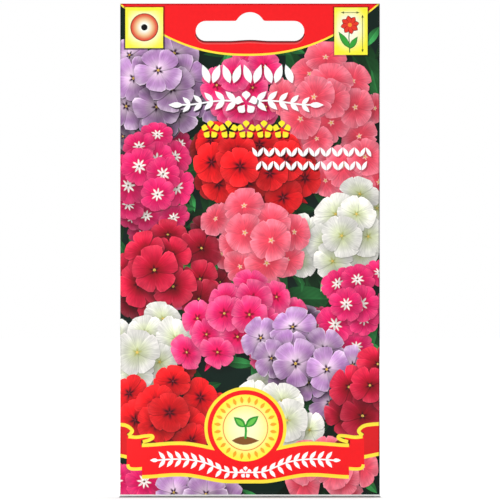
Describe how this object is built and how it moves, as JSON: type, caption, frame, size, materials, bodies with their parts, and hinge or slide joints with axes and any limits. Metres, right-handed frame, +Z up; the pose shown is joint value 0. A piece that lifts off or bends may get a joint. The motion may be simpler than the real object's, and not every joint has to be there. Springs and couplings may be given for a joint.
{
  "type": "seed packet",
  "caption": "Flat folded paper seed packet with a printed flower front, a glued back seam and flaps, and a hang slot.",
  "frame": {"origin": "crown of the hang slot, where a display hook bears, midway through the packet", "axes": "+Z up as the packet hangs, front panel faces -Y, +X to the right seen from the front"},
  "size_m": [0.08, 0.0035, 0.152],
  "materials": {
    "printed_paper": "coated paper, offset print, semi gloss",
    "glue": "dried paper glue",
    "seed_coat": "dull seed coat"
  },
  "bodies": {
    "root": {"paper_packet": "printed_paper", "seam_glue": "glue", "bottom_flap_glue": "glue", "top_flap_glue": "glue", "seed_01": "seed_coat", "seed_02": "seed_coat", "seed_03": "seed_coat", "seed_04": "seed_coat", "seed_05": "seed_coat", "seed_06": "seed_coat", "seed_07": "seed_coat", "seed_08": "seed_coat", "seed_09": "seed_coat", "seed_10": "seed_coat", "seed_11": "seed_coat", "seed_12": "seed_coat", "seed_13": "seed_coat", "seed_14": "seed_coat", "seed_15": "seed_coat", "seed_16": "seed_coat", "seed_17": "seed_coat", "seed_18": "seed_coat", "seed_19": "seed_coat", "seed_20": "seed_coat", "seed_21": "seed_coat", "seed_22": "seed_coat", "seed_23": "seed_coat", "seed_24": "seed_coat", "seed_25": "seed_coat", "seed_26": "seed_coat", "seed_27": "seed_coat", "seed_28": "seed_coat", "seed_29": "seed_coat", "seed_30": "seed_coat", "seed_31": "seed_coat", "seed_32": "seed_coat", "seed_33": "seed_coat", "seed_34": "seed_coat", "seed_35": "seed_coat", "seed_36": "seed_coat", "seed_37": "seed_coat", "seed_38": "seed_coat", "seed_39": "seed_coat", "seed_40": "seed_coat", "seed_41": "seed_coat", "seed_42": "seed_coat"}
  },
  "joints": []
}
